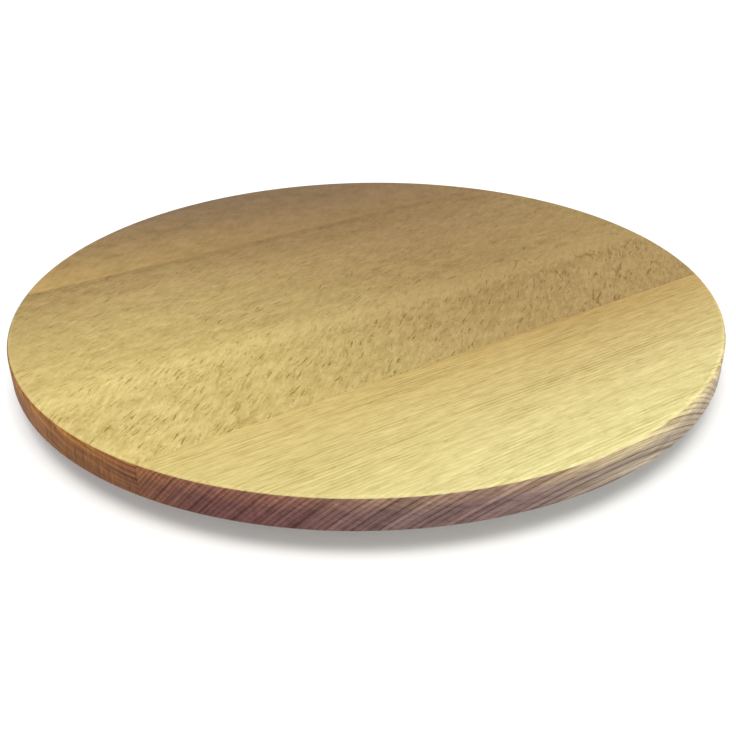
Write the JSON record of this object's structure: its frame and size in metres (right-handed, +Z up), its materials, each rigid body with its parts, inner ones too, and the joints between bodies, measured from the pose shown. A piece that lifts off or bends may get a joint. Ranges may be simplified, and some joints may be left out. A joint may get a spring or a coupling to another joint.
{
  "type": "lazy susan turntable",
  "caption": "Round edge-glued beech serving board that turns freely on a low aluminium ball-bearing ring with rubber feet.",
  "frame": {"origin": "on the table under the turning axis, level with the rubber feet's toes", "axes": "+Z up along the turning axis, +X along the board's grain, +Y towards the back stave"},
  "size_m": [0.4, 0.4, 0.03],
  "materials": {
    "beech_back": "oiled, satin, light brown beech",
    "beech_middle_back": "oiled, satin, golden beech",
    "beech_middle_front": "oiled, satin, flecked pale beech",
    "beech_front": "oiled, satin, pale straight-grained beech",
    "aluminium": "satin anodised, turned",
    "zinc_steel": "bright zinc plate",
    "ball_steel": "polished",
    "nylon": "natural nylon, matt",
    "black_steel": "black oxide, satin",
    "rubber": "matt moulded rubber"
  },
  "bodies": {
    "base": {"lower_ring": "aluminium", "ball_plug": "black_steel", "foot_1": "rubber", "foot_2": "rubber", "foot_3": "rubber", "foot_4": "rubber", "foot_5": "rubber", "foot_6": "rubber", "foot_7": "rubber", "foot_8": "rubber"},
    "turntable": {"stave_back": "beech_back", "stave_middle_back": "beech_middle_back", "stave_middle_front": "beech_middle_front", "stave_front": "beech_front", "upper_ring": "aluminium", "board_screws": "zinc_steel"},
    "ball_set": {"balls": "ball_steel", "ball_cage": "nylon"}
  },
  "joints": [
    {"name": "board_spin", "type": "hinge", "parent": "base", "child": "turntable", "pos_m": [0, 0, 0.012], "axis": [0, 0, 1], "continuous": true},
    {"name": "ball_roll", "type": "hinge", "parent": "base", "child": "ball_set", "pos_m": [0, 0, 0.0075], "axis": [0, 0, 1], "continuous": true}
  ],
  "couplings": [
    {"joint": "ball_roll", "follows": "board_spin", "ratio": 0.489}
  ]
}
